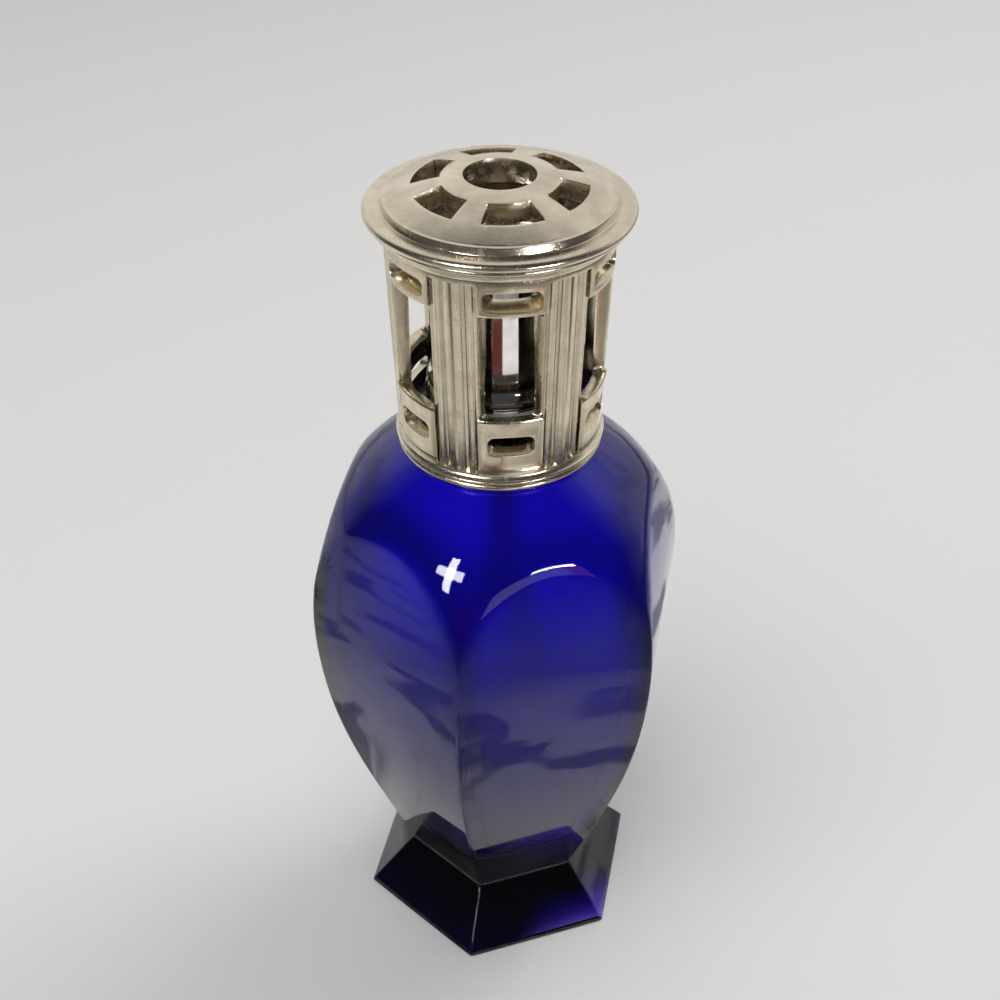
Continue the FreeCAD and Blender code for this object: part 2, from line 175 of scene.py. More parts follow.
def noise(tree, position, scale, detail, distortion=0.0):
    node = tree.nodes.new("ShaderNodeTexNoise")
    node.inputs["Scale"].default_value = scale
    node.inputs["Detail"].default_value = detail
    node.inputs["Distortion"].default_value = distortion
    link(tree, position, node.inputs["Vector"])
    return node.outputs["Fac"]


# %% Floor
FLOOR_SIZE = 3.0
FLOOR_LEVEL = -0.15 * MM
TABLE_PALE = (0.80, 0.795, 0.79)
# Painted bands of shadow and light on the table, seen in mirrors only.
TABLE_SHADOW_BAND = (0.42, 0.43, 0.39)
TABLE_LIGHT_BAND = (1.0, 0.98, 0.94)
TABLE_VEIN = (0.34, 0.34, 0.33)
TABLE_UNLIT = (0.13, 0.12, 0.10)
TABLE_SHADED = (0.16, 0.16, 0.17)
BANDS_PER_TURN = 3.9
BAND_SHIFT = -0.2
# Painted glow of the table where rays through the glass meet it.
PAINTED_GLOW_BEHIND = 1.8
PAINTED_GLOW_UNDER = 1.4


def mirrored_table_painted_shade(tree, position, x, y):
    """The table as mirrors see it: painted shadow far in front and to the right, painted bands of shadow and
    light, and veins.
    """
    # Painted shadow: the table goes dim far in front and to the right, in mirrors only.
    lit = arithmetic(tree, "MULTIPLY", ramp_along(tree, y, -0.42, -0.08), ramp_along(tree, x, 0.45, 0.10))
    # Painted bands of shadow and light round the axis, kept light near the lamp.
    azimuth = arithmetic(tree, "ARCTAN2", x, arithmetic(tree, "MULTIPLY", y, -1.0))
    turned = arithmetic(tree, "MULTIPLY_ADD", azimuth, BANDS_PER_TURN, BAND_SHIFT)
    band = ramp_along(tree, arithmetic(tree, "COSINE", turned), -0.9, 0.6)
    band = arithmetic(tree, "MAXIMUM", band, ramp_along(tree, y, -0.02, 0.04))
    squares = [arithmetic(tree, "POWER", axis, 2.0) for axis in (x, y)]
    reach = arithmetic(tree, "SQRT", arithmetic(tree, "ADD", *squares))
    band = arithmetic(tree, "MAXIMUM", band, ramp_along(tree, reach, 0.17, 0.10))
    vein = ramp_along(tree, noise(tree, position, 13, 5, 2.2), 0.50, 0.60)
    shadow_and_light_bands = stage_mix(tree, band, TABLE_SHADOW_BAND, TABLE_LIGHT_BAND)
    return stage_mix(tree, lit, TABLE_UNLIT, stage_mix(tree, vein, shadow_and_light_bands, TABLE_VEIN))


def painted_glow_through_glass(tree, x, y):
    """Painted glow: brightness of the patch behind the lamp and of the one under the foot's right side."""
    behind = arithmetic(tree, "MULTIPLY", ramp_along(tree, y, 0.09, 0.125), ramp_along(tree, y, 0.21, 0.125))
    behind = arithmetic(tree, "MULTIPLY", behind, ramp_along(tree, x, 0.16, -0.06))
    under = arithmetic(tree, "MULTIPLY", ramp_along(tree, y, 0.0, -0.03), ramp_along(tree, x, 0.008, 0.03))
    under = arithmetic(tree, "MULTIPLY", under, PAINTED_GLOW_UNDER)
    return arithmetic(tree, "MULTIPLY_ADD", behind, PAINTED_GLOW_BEHIND, under)


def table_material():
    material = plain_material("pale_floor", TABLE_PALE, 0.55)
    tree = material.node_tree
    surface = tree.nodes["Principled BSDF"]
    position = tree.nodes.new("ShaderNodeNewGeometry").outputs["Position"]
    axes = tree.nodes.new("ShaderNodeSeparateXYZ")
    link(tree, position, axes.inputs[0])
    x, y = axes.outputs["X"], axes.outputs["Y"]
    # Painted shade near the lamp, seen only through the glass.
    painted_shade_through_glass = stage_mix(tree, ramp_along(tree, y, 0.045, 0.10), TABLE_SHADED, TABLE_PALE)
    ray = tree.nodes.new("ShaderNodeLightPath").outputs
    seen = stage_mix(tree, ray["Is Glossy Ray"], TABLE_PALE, mirrored_table_painted_shade(tree, position, x, y))
    seen = stage_mix(tree, ray["Is Transmission Ray"], seen, painted_shade_through_glass)
    link(tree, seen, surface.inputs["Base Color"])
    surface.inputs["Emission Color"].default_value = (*TABLE_PALE, 1)
    # Painted glow, seen only through the glass.
    glow = arithmetic(tree, "MULTIPLY", painted_glow_through_glass(tree, x, y), ray["Is Transmission Ray"])
    link(tree, glow, surface.inputs["Emission Strength"])
    return material


def flat_patch(name, corners, material):
    """An object that is one four-sided face."""
    mesh = bpy.data.meshes.new(name)
    mesh.from_pydata(corners, [], [(0, 1, 2, 3)])
    mesh.materials.append(material)
    patch = bpy.data.objects.new(name, mesh)
    scene.collection.objects.link(patch)
    return patch


half = FLOOR_SIZE / 2
floor_corners = [(x, y, FLOOR_LEVEL) for x, y in ((-half, -half), (half, -half), (half, half), (-half, half))]
floor = flat_patch("floor", floor_corners, table_material())
print("floor side in m:", FLOOR_SIZE)

# %% [markdown]
# ## What the cap mirrors
# The snuffer cap is a mirror behind the windows, and it shows a strip of coloured things
# that stand in front of the lamp. Three small glowing cards in an arc before the cage give
# that strip. They are seen in reflections only, so they neither light the lamp nor block
# the view.

# %% Mirrored cards
CARD_DISTANCE = 0.078
CARD_LOW = 0.1055
CARD_HIGH = 0.122


def mirrored_card(name, left, right, glow):
    """Glowing upright patch in front of the cage, between two azimuths in degrees."""
    corners = []
    for degrees, level in ((left, CARD_LOW), (right, CARD_LOW), (right, CARD_HIGH), (left, CARD_HIGH)):
        turn = math.radians(degrees)
        corners.append((CARD_DISTANCE * math.sin(turn), -CARD_DISTANCE * math.cos(turn), level))
    material = plain_material(name, (0.0, 0.0, 0.0), 1.0)
    surface = material.node_tree.nodes["Principled BSDF"]
    surface.inputs["Emission Color"].default_value = (*glow, 1)
    surface.inputs["Emission Strength"].default_value = 1.0
    card = flat_patch(name, corners, material)
    card.visible_camera = False
    card.visible_diffuse = False
    card.visible_transmission = False
    card.visible_shadow = False


mirrored_card("dark_red_card", -9, 16, (0.13, 0.03, 0.028))
mirrored_card("white_card", 16, 44, (0.95, 0.92, 0.94))
mirrored_card("orange_card", 44, 50, (0.85, 0.26, 0.05))
print("cards:", 3)

# %% [markdown]
# ## Room
# A world background stands for the walls. It is pale and slightly blotched behind the
# lamp and dim above and in front, so the round shoulder stays deep blue while the lid is
# bright. The camera itself sees one plain pale tone.

# %% Room light
WALL_DIM = (0.055, 0.055, 0.06)
WALL_PALE = (0.80, 0.785, 0.76)
WALL_BLOTCH = (0.58, 0.57, 0.56)
BACKDROP = (0.72, 0.72, 0.71)
room = bpy.data.worlds.new("room")
room.use_nodes = True
scene.world = room
tree = room.node_tree
direction = tree.nodes.new("ShaderNodeTexCoord").outputs["Generated"]
parts = tree.nodes.new("ShaderNodeSeparateXYZ")
link(tree, direction, parts.inputs[0])
behind = ramp_along(tree, parts.outputs["Y"], 0.05, 0.55)
low = ramp_along(tree, parts.outputs["Z"], 1.2, 0.7)
blotch = ramp_along(tree, noise(tree, direction, 3.5, 3, 0.8), 0.42, 0.62)
bright_wall = stage_mix(tree, blotch, WALL_PALE, WALL_BLOTCH)
wall = stage_mix(tree, arithmetic(tree, "MULTIPLY", behind, low), WALL_DIM, bright_wall)
ray = tree.nodes.new("ShaderNodeLightPath").outputs
background = tree.nodes["Background"]
link(tree, stage_mix(tree, ray["Is Camera Ray"], wall, BACKDROP), background.inputs["Color"])
background.inputs["Strength"].default_value = 1.0
print("world:", room.name)

# %% [markdown]
# ## Lamps
# Two broad lamps light the table and stay out of reflections. Three small ones do the
# opposite: they show only as glints, a crossed window on the left of the shoulder and a
# short strip on its right.

# %% Lamps
LAMP_AIM = Vector((0, 0, 0.1))


def soft_lamp(name, place, width, height, power):
    """Rectangular white lamp that faces the middle of the object."""
    data = bpy.data.lights.new(name, "AREA")
    data.shape = "RECTANGLE"
    data.size = width
    data.size_y = height
    data.energy = power
    lamp = bpy.data.objects.new(name, data)
    lamp.location = place
    lamp.rotation_euler = (LAMP_AIM - Vector(place)).to_track_quat("-Z", "Y").to_euler()
    scene.collection.objects.link(lamp)
    return lamp


def room_lamp(*settings):
    """Lamp that lights the scene but stays out of reflections."""
    lamp = soft_lamp(*settings)
    lamp.visible_glossy = False
    lamp.visible_transmission = False


def glint_lamp(*settings):
    """Lamp that shows only as a highlight on glass and metal."""
    lamp = soft_lamp(*settings)
    lamp.visible_diffuse = False
    lamp.visible_transmission = False


room_lamp("broad_lamp", (-0.25, -0.5, 1.4), 1.1, 1.1, 12.5)
room_lamp("back_lamp", (0.6, 0.7, 1.1), 0.8, 0.8, 6.5)
glint_lamp("window_bar", (-0.39, -0.96, 0.74), 0.10, 0.50, 3.2)
glint_lamp("window_cross_bar", (-0.39, -0.95, 0.74), 0.34, 0.14, 2.6)
glint_lamp("side_strip", (0.266, -0.259, 0.189), 0.10, 0.034, 0.36)

# %% [markdown]
# ## Shared surface effects
# Cast and plated metal is never even. Five effects serve every nickel finish here: a fine
# grain, darkening in the grooves, hairline scratches, polished edges with a painted
# highlight, and painted shade on the inner face. Each is a node group with named sockets,
# so one recipe can be tuned for each finish.


# %% Node group helpers
def new_group(name, inputs, outputs):
    """A shader node group with its float inputs, and its input and output nodes."""
    group = bpy.data.node_groups.new(name, "ShaderNodeTree")
    for socket_name, value in inputs.items():
        socket = group.interface.new_socket(socket_name, in_out="INPUT", socket_type="NodeSocketFloat")
        socket.default_value = value
    for socket_name, kind in outputs.items():
        group.interface.new_socket(socket_name, in_out="OUTPUT", socket_type=kind)
    return group, group.nodes.new("NodeGroupInput"), group.nodes.new("NodeGroupOutput")


def add_node(tree, kind, **settings):
    node = tree.nodes.new(kind)
    for key, value in settings.items():
        setattr(node, key, value)
    return node


def map_range(tree, source, from_min, from_max, to_min, to_max):
    node = add_node(tree, "ShaderNodeMapRange")
    limits = {"From Min": from_min, "From Max": from_max, "To Min": to_min, "To Max": to_max}
    for key, value in limits.items():
        if isinstance(value, (int, float)):
            node.inputs[key].default_value = value
        else:
            link(tree, value, node.inputs[key])
    link(tree, source, node.inputs["Value"])
    return node.outputs["Result"]


def stretched_position(tree, scale):
    """Object coordinates scaled by a vector, so that a pattern can run along one axis."""
    where = add_node(tree, "ShaderNodeTexCoord")
    mapping = add_node(tree, "ShaderNodeMapping")
    mapping.inputs["Scale"].default_value = scale
    link(tree, where.outputs["Object"], mapping.inputs["Vector"])
    return mapping.outputs["Vector"]


# %% [markdown]
# ### Grain
# Molten metal leaves small pits and soft, broad unevenness. Two noises of different sizes
# give both: the fine one is cut to pits, the broad one also drives colour and roughness.

# %% Grain of a casting
grain_group, grain_in, grain_out = new_group(
    "casting_grain",
    {"Fine Scale": 2600.0, "Broad Scale": 260.0, "Pit Depth": 0.5},
    {"Height": "NodeSocketFloat", "Cloud": "NodeSocketFloat"},
)
place = stretched_position(grain_group, (1, 1, 1))
fine = add_node(grain_group, "ShaderNodeTexNoise")
link(grain_group, place, fine.inputs["Vector"])
link(grain_group, grain_in.outputs["Fine Scale"], fine.inputs["Scale"])
fine.inputs["Detail"].default_value = 3
broad = add_node(grain_group, "ShaderNodeTexNoise")
link(grain_group, place, broad.inputs["Vector"])
link(grain_group, grain_in.outputs["Broad Scale"], broad.inputs["Scale"])
broad.inputs["Detail"].default_value = 4
pits = map_range(grain_group, fine.outputs["Fac"], 0.28, 0.42, 0.0, 1.0)
depth = arithmetic(grain_group, "MULTIPLY", pits, grain_in.outputs["Pit Depth"])
height = arithmetic(grain_group, "ADD", depth, broad.outputs["Fac"])
link(grain_group, height, grain_out.inputs["Height"])
link(grain_group, broad.outputs["Fac"], grain_out.inputs["Cloud"])
print("grain nodes:", len(grain_group.nodes))

# %% [markdown]
# ### Darkened hollows
# The colour goes dark in the hollows. Ambient occlusion over a millimetre finds those
# hollows on any shape, so nothing has to be painted by hand.

# %% Darkening in the grooves
darkening_group, darkening_in, darkening_out = new_group(
    "hollow_darkening",
    {"Reach": 0.0012, "Strength": 0.8},
    {"Mask": "NodeSocketFloat"},
)
hollow = add_node(darkening_group, "ShaderNodeAmbientOcclusion", samples=6, only_local=True)
link(darkening_group, darkening_in.outputs["Reach"], hollow.inputs["Distance"])
hollowness = map_range(darkening_group, hollow.outputs["AO"], 0.75, 0.25, 0.0, 1.0)
amount = add_node(darkening_group, "ShaderNodeMath", operation="MULTIPLY", use_clamp=True)
link(darkening_group, hollowness, amount.inputs[0])
link(darkening_group, darkening_in.outputs["Strength"], amount.inputs[1])
link(darkening_group, amount.outputs[0], darkening_out.inputs["Mask"])
print("tarnish nodes:", len(darkening_group.nodes))

# %% [markdown]
# ### Scratches
# Wiping leaves hairlines. A noise stretched far along one axis gives streaks, and three of
# them in different directions look like years of wiping.

# %% Hairline scratches
scratch_group, scratch_in, scratch_out = new_group(
    "wiping_scratches",
    {"Scale": 900.0, "Amount": 0.5},
    {"Mask": "NodeSocketFloat"},
)
lines = []
for stretch in ((1, 0.04, 0.3), (0.05, 1, 0.25), (0.35, 0.3, 0.03)):
    hair = add_node(scratch_group, "ShaderNodeTexNoise")
    link(scratch_group, stretched_position(scratch_group, stretch), hair.inputs["Vector"])
    link(scratch_group, scratch_in.outputs["Scale"], hair.inputs["Scale"])
    hair.inputs["Detail"].default_value = 2
    lines.append(map_range(scratch_group, hair.outputs["Fac"], 0.62, 0.72, 0.0, 1.0))
every = arithmetic(scratch_group, "MAXIMUM", arithmetic(scratch_group, "MAXIMUM", *lines[:2]), lines[2])
weak = arithmetic(scratch_group, "MULTIPLY", every, scratch_in.outputs["Amount"])
link(scratch_group, weak, scratch_out.inputs["Mask"])
print("scratch directions:", len(lines))

# %% [markdown]
# ### Polished edges with a painted highlight
# Touching and wiping keeps the proud edges smooth, and their colour is lifted as a painted
# highlight. A bevel normal differs from the true one near an edge, and where the
# surroundings are open that edge stands proud.

# %% Polish and painted highlight on the proud edges
edge_group, edge_in, edge_out = new_group(
    "polished_highlit_edges",
    {"Edge Radius": 0.0003, "Reach": 0.0006, "Strength": 1.0},
    {"Mask": "NodeSocketFloat"},
)
rounded = add_node(edge_group, "ShaderNodeBevel", samples=6)
link(edge_group, edge_in.outputs["Edge Radius"], rounded.inputs["Radius"])
true_normal = add_node(edge_group, "ShaderNodeNewGeometry")
agreement = add_node(edge_group, "ShaderNodeVectorMath", operation="DOT_PRODUCT")
link(edge_group, rounded.outputs["Normal"], agreement.inputs[0])
link(edge_group, true_normal.outputs["Normal"], agreement.inputs[1])
bend = map_range(edge_group, agreement.outputs["Value"], 0.995, 0.90, 0.0, 1.0)
open_side = add_node(edge_group, "ShaderNodeAmbientOcclusion", samples=6, only_local=True)
link(edge_group, edge_in.outputs["Reach"], open_side.inputs["Distance"])
proud = map_range(edge_group, open_side.outputs["AO"], 0.55, 0.9, 0.0, 1.0)
both = arithmetic(edge_group, "MULTIPLY", bend, proud)
shine = add_node(edge_group, "ShaderNodeMath", operation="MULTIPLY", use_clamp=True)
link(edge_group, both, shine.inputs[0])
link(edge_group, edge_in.outputs["Strength"], shine.inputs[1])
link(edge_group, shine.outputs[0], edge_out.inputs["Mask"])
print("edge nodes:", len(edge_group.nodes))

# %% [markdown]
# ### Painted shade on the inner face
# The inside of the cage gets painted shade. Faces whose normal points back at the axis are
# the inner ones, so they take the dark colour of the hollows.

# %% Painted shade inside the shroud
inner_shade_group, inner_shade_in, inner_shade_out = new_group(
    "painted_inner_shade",
    {"Strength": 0.8},
    {"Mask": "NodeSocketFloat"},
)
outward = add_node(inner_shade_group, "ShaderNodeVectorMath", operation="NORMALIZE")
link(inner_shade_group, stretched_position(inner_shade_group, (1, 1, 0)), outward.inputs[0])
facing = add_node(inner_shade_group, "ShaderNodeNewGeometry")
turned_in = add_node(inner_shade_group, "ShaderNodeVectorMath", operation="DOT_PRODUCT")
link(inner_shade_group, outward.outputs["Vector"], turned_in.inputs[0])
link(inner_shade_group, facing.outputs["Normal"], turned_in.inputs[1])
inward = map_range(inner_shade_group, turned_in.outputs["Value"], -0.3, -0.8, 0.0, 1.0)
inner_shade_amount = add_node(inner_shade_group, "ShaderNodeMath", operation="MULTIPLY", use_clamp=True)
link(inner_shade_group, inward, inner_shade_amount.inputs[0])
link(inner_shade_group, inner_shade_in.outputs["Strength"], inner_shade_amount.inputs[1])
link(inner_shade_group, inner_shade_amount.outputs[0], inner_shade_out.inputs["Mask"])
print("groups:", [group.name for group in bpy.data.node_groups])

# %% [markdown]
# ## Nickel finishes
# The shroud is a die casting with a satin, faintly warm nickel plate. The snuffer cap
# inside it is the same metal polished like a mirror. One function builds both, and the
# finish is a matter of how rough, how grainy and how dark in the hollows it is.

# %% Nickel
CLOUD_TONE = 0.86
# Painted highlight: colour of the proud edges, lighter than the metal.
PAINTED_HIGHLIGHT_TONE = 1.18
POLISHED_ROUGHNESS = 0.5
EDGE_POLISH_AND_HIGHLIGHT = 0.8
SCRATCH_ROUGHNESS = 0.12


def nickel(name, bright, dark, roughness, spread, grain, darkening, scratches, bump, inner_shade_strength=0.0):
    """Plated metal: clouded colour, darkened hollows, painted shade on the inner faces, a painted highlight
    on the edges, and a roughness that varies.
    """
    material = bpy.data.materials.new(name)
    material.use_nodes = True
    tree = material.node_tree
    surface = tree.nodes["Principled BSDF"]
    surface.inputs["Metallic"].default_value = 1.0
    cast = add_node(tree, "ShaderNodeGroup", node_tree=grain_group)
    cast.inputs["Pit Depth"].default_value = grain
    groove = add_node(tree, "ShaderNodeGroup", node_tree=darkening_group)
    groove.inputs["Strength"].default_value = darkening
    wiped = add_node(tree, "ShaderNodeGroup", node_tree=scratch_group)
    wiped.inputs["Amount"].default_value = scratches
    cloud = add_node(tree, "ShaderNodeMix", data_type="RGBA")
    cloud.inputs["A"].default_value = (*bright, 1)
    cloud.inputs["B"].default_value = (*(channel * CLOUD_TONE for channel in bright), 1)
    link(tree, map_range(tree, cast.outputs["Cloud"], 0.35, 0.65, 0.0, 1.0), cloud.inputs["Factor"])
    colour = add_node(tree, "ShaderNodeMix", data_type="RGBA")
    link(tree, cloud.outputs["Result"], colour.inputs["A"])
    colour.inputs["B"].default_value = (*dark, 1)
    # Painted shade: the inner faces take the dark colour.
    inner_shade_mask = add_node(tree, "ShaderNodeGroup", node_tree=inner_shade_group)
    inner_shade_mask.inputs["Strength"].default_value = inner_shade_strength
    inner_shade_and_hollows = arithmetic(tree, "MAXIMUM", groove.outputs["Mask"], inner_shade_mask.outputs["Mask"])
    link(tree, inner_shade_and_hollows, colour.inputs["Factor"])
    edge = add_node(tree, "ShaderNodeGroup", node_tree=edge_group)
    edge.inputs["Strength"].default_value = EDGE_POLISH_AND_HIGHLIGHT
    # Painted highlight: the proud edges take a lighter colour.
    final = add_node(tree, "ShaderNodeMix", data_type="RGBA")
    link(tree, colour.outputs["Result"], final.inputs["A"])
    final.inputs["B"].default_value = (*(min(1, channel * PAINTED_HIGHLIGHT_TONE) for channel in bright), 1)
    link(tree, edge.outputs["Mask"], final.inputs["Factor"])
    link(tree, final.outputs["Result"], surface.inputs["Base Color"])
    rough = map_range(tree, cast.outputs["Cloud"], 0.3, 0.7, roughness, roughness + spread)
    scratched = map_range(tree, wiped.outputs["Mask"], 0.0, 1.0, 0.0, SCRATCH_ROUGHNESS)
    smooth = add_node(tree, "ShaderNodeMix")
    link(tree, arithmetic(tree, "ADD", rough, scratched), smooth.inputs["A"])
    smooth.inputs["B"].default_value = roughness * POLISHED_ROUGHNESS
    link(tree, edge.outputs["Mask"], smooth.inputs["Factor"])
    link(tree, smooth.outputs["Result"], surface.inputs["Roughness"])
    relief = add_node(tree, "ShaderNodeBump")
    relief.inputs["Strength"].default_value = bump
    relief.inputs["Distance"].default_value = 0.0002
    link(tree, cast.outputs["Height"], relief.inputs["Height"])
    link(tree, relief.outputs["Normal"], surface.inputs["Normal"])
    return material


cast_nickel = nickel(
    "satin_cast_nickel", (0.84, 0.75, 0.60), (0.15, 0.12, 0.07), 0.17, 0.12, 0.5, 0.95, 0.6, bump=0.18
)
# Painted shade: the shroud's nickel is a darker copy of the lid's.
shaded_cage_nickel = nickel(
    "reeded_cast_nickel_painted_shade", (0.77, 0.69, 0.53), (0.13, 0.11, 0.07), 0.16, 0.12, 0.5, 1.0, 0.6,
    bump=0.18, inner_shade_strength=0.75,
)
mirror_nickel = nickel(
    "mirror_nickel", (0.80, 0.78, 0.74), (0.35, 0.33, 0.30), 0.05, 0.04, 0.1, 0.3, 0.5, bump=0.02
)
spun_metal = nickel(
    "spun_sleeve_metal", (0.78, 0.76, 0.72), (0.30, 0.28, 0.25), 0.16, 0.10, 0.1, 0.5, 0.5, bump=0.03
)
print("nickel finishes:", [finish.name for finish in (cast_nickel, shaded_cage_nickel, mirror_nickel, spun_metal)])

# %% [markdown]
# ## Cobalt glass
# Cobalt glass swallows red and green, and the thicker it is the darker it looks, so the
# solid foot goes nearly black while the thin shoulder glows. Absorption inside the wall
# does this by itself. The surface only adds the faint waves of a mould, and a film of oil
# on the inner wall that blurs what is behind it.

# %% Glass
INNER_MARK = "inner_wall"
GLASS_TINT = (0.42, 0.34, 1.0)
GLASS_DEPTH_TINT = (0.36, 0.04, 0.835)
ABSORPTION_PER_METRE = 660
SMUDGE_ROUGHNESS = 0.05
FILM_ROUGHNESS = 0.5


def cobalt_glass_material():
    material = bpy.data.materials.new("cobalt_glass_body")
    material.use_nodes = True
    tree = material.node_tree
    surface = tree.nodes["Principled BSDF"]
    surface.inputs["Base Color"].default_value = (*GLASS_TINT, 1)
    surface.inputs["IOR"].default_value = 1.5
    surface.inputs["Specular IOR Level"].default_value = 0.4
    surface.inputs["Transmission Weight"].default_value = 1.0
    smudge = noise(tree, stretched_position(tree, (1, 1, 0.4)), 60, 5)
    smear = map_range(tree, smudge, 0.5, 0.75, 0.0, SMUDGE_ROUGHNESS)
    mark = add_node(tree, "ShaderNodeAttribute", attribute_name=INNER_MARK)
    film = map_range(tree, mark.outputs["Fac"], 0.0, 1.0, smear, FILM_ROUGHNESS)
    link(tree, film, surface.inputs["Roughness"])
    wave = noise(tree, stretched_position(tree, (1, 1, 1.6)), 55, 1)
    relief = add_node(tree, "ShaderNodeBump")
    relief.inputs["Strength"].default_value = 0.06
    relief.inputs["Distance"].default_value = 0.0012
    outer = arithmetic(tree, "MULTIPLY_ADD", mark.outputs["Fac"], -1.0, 1.0)
    link(tree, arithmetic(tree, "MULTIPLY", wave, outer), relief.inputs["Height"])
    link(tree, relief.outputs["Normal"], surface.inputs["Normal"])
    inside = add_node(tree, "ShaderNodeVolumeAbsorption")
    inside.inputs["Color"].default_value = (*GLASS_DEPTH_TINT, 1)
    inside.inputs["Density"].default_value = ABSORPTION_PER_METRE
    link(tree, inside.outputs["Volume"], tree.nodes["Material Output"].inputs["Volume"])
    return material


cobalt_glass = cobalt_glass_material()
print("glass:", cobalt_glass.name)

# %% [markdown]
# ## The bottle
# The body is a bowed hexagon cut into a round form: six flat sides, whose tops end in
# arches where the round shoulder meets them. For each height there are two radii, one of
# the six flats and one of the round form, and the glass follows the smaller one. A soft
# minimum rounds the edge between them like fire polishing does. Rings of points at rising
# heights, joined up, make the outside, and the same walk down the inside makes the wall.

# %% Bottle profiles
SIDES = 6
FOOT_CORNER = 33.05
WAIST_CORNER = 21.8
WAIST_HEIGHT = 12.7
FACET_PROFILE = [
    (18.88, 12.7), (26.4, 36.0), (32.1, 58.0), (34.5, 75.0), (34.9, 90.0), (31.6, 112.0), (26.6, 131.0),
]
SHOULDER_PROFILE = [(47.0, 78.0), (42.1, 92.0), (37.9, 103.0), (32.9, 113.0), (26.2, 120.5), (18.2, 126.0)]
NECK_RADIUS = 11.9
BORE_RADIUS = 9.9
NECK_TOP = 136.4
FLAT_SHARE = math.cos(math.pi / SIDES)
WALL = 3.6
INNER_FLOOR = 24.0
INNER_ROUND = 7.0


def smooth_profile(points):
    """Radius at a height, on a natural cubic spline through (radius, height) points."""
    radius = np.array([point[0] for point in points])
    height = np.array([point[1] for point in points])
    gap = np.diff(height)
    count = len(points)
    system = np.eye(count)
    slopes = np.zeros(count)
    for i in range(1, count - 1):
        system[i, i - 1 : i + 2] = gap[i - 1], 2 * (gap[i - 1] + gap[i]), gap[i]
        slopes[i] = 6 * ((radius[i + 1] - radius[i]) / gap[i] - (radius[i] - radius[i - 1]) / gap[i - 1])
    bend = np.linalg.solve(system, slopes)

    def at(z):
        i = int(np.clip(np.searchsorted(height, z) - 1, 0, count - 2))
        h, a, b = gap[i], height[i + 1] - z, z - height[i]
        cubic = bend[i] * a**3 + bend[i + 1] * b**3
        line = (radius[i] - bend[i] * h * h / 6) * a + (radius[i + 1] - bend[i + 1] * h * h / 6) * b
        return cubic / (6 * h) + line / h

    return at


facet_at = smooth_profile(FACET_PROFILE)
shoulder_at = smooth_profile(SHOULDER_PROFILE)


# %% Ring shapes
def soft_minimum(a, b, width):
    blend = np.maximum(width - np.abs(a - b), 0) / width
    return np.minimum(a, b) - blend * blend * width / 4


def hexagon_radius(angle, flat, corner_round):
    """Distance to a hexagon with rounded corners, whose flats stand at the flat distance."""
    turn = np.pi / SIDES
    off_flat = np.abs((angle + turn) % (2 * turn) - turn)
    off_corner = turn - off_flat
    centre = (flat - corner_round) / math.cos(turn)
    tangent = math.atan2(corner_round * math.sin(turn), centre + corner_round * math.cos(turn))
    straight = flat / np.cos(off_flat)
    root = np.maximum(corner_round**2 - (centre * np.sin(off_corner)) ** 2, 0)
    rounded = centre * np.cos(off_corner) + np.sqrt(root)
    return np.where(off_corner < tangent, rounded, straight)


def outer_radius(angle, z):
    """The body's flats and round shoulder, joined to the sloping foot by a small hollow round."""
    foot_flat = FLAT_SHARE * (FOOT_CORNER + (WAIST_CORNER - FOOT_CORNER) * z / WAIST_HEIGHT)
    body_flat = facet_at(z) if z > WAIST_HEIGHT else facet_at(WAIST_HEIGHT) - 0.32 * (WAIST_HEIGHT - z)
    flat = -soft_minimum(-foot_flat, -body_flat, 0.5)
    flats = hexagon_radius(angle, flat, 0.8)
    if z < SHOULDER_PROFILE[0][1]:
        return flats
    return soft_minimum(flats, shoulder_at(z) + 0 * angle, 1.1)


def inner_radius(angle, z):
    """The cavity: a wall's thickness inside the body, with a rounded floor."""
    flats = hexagon_radius(angle, facet_at(z) - WALL, 8.0)
    if z > SHOULDER_PROFILE[0][1] - 2.0:
        round_part = shoulder_at(min(z + 0.55 * WALL, SHOULDER_PROFILE[-1][1])) - WALL
        flats = soft_minimum(flats, round_part + 0 * angle, 7.0)
    if z < INNER_FLOOR + INNER_ROUND:
        share = (INNER_FLOOR + INNER_ROUND - z) / INNER_ROUND
        flats = flats - INNER_ROUND * (1 - math.sqrt(max(1 - share * share, 0)))
    return np.maximum(flats, 0.3)


# %% Bottle rings
POINTS_PER_SIDE = 64
CORNER_CROWDING = 0.85


def corner_angles():
    """Azimuths all round, closer together towards the six corners."""
    angles = []
    for side in range(SIDES):
        for step in range(POINTS_PER_SIDE):
            t = step / POINTS_PER_SIDE
            eased = t - CORNER_CROWDING * math.sin(2 * math.pi * t) / (2 * math.pi)
            angles.append((side + eased) * 2 * math.pi / SIDES)
    return np.array(angles)


def heights(marks):
    """Heights from (start, end, step) stretches, without repeats."""
    rows = []
    for start, end, step in marks:
        count = max(1, round(abs(end - start) / step))
        rows.extend(start + (end - start) * i / count for i in range(count))
    return rows


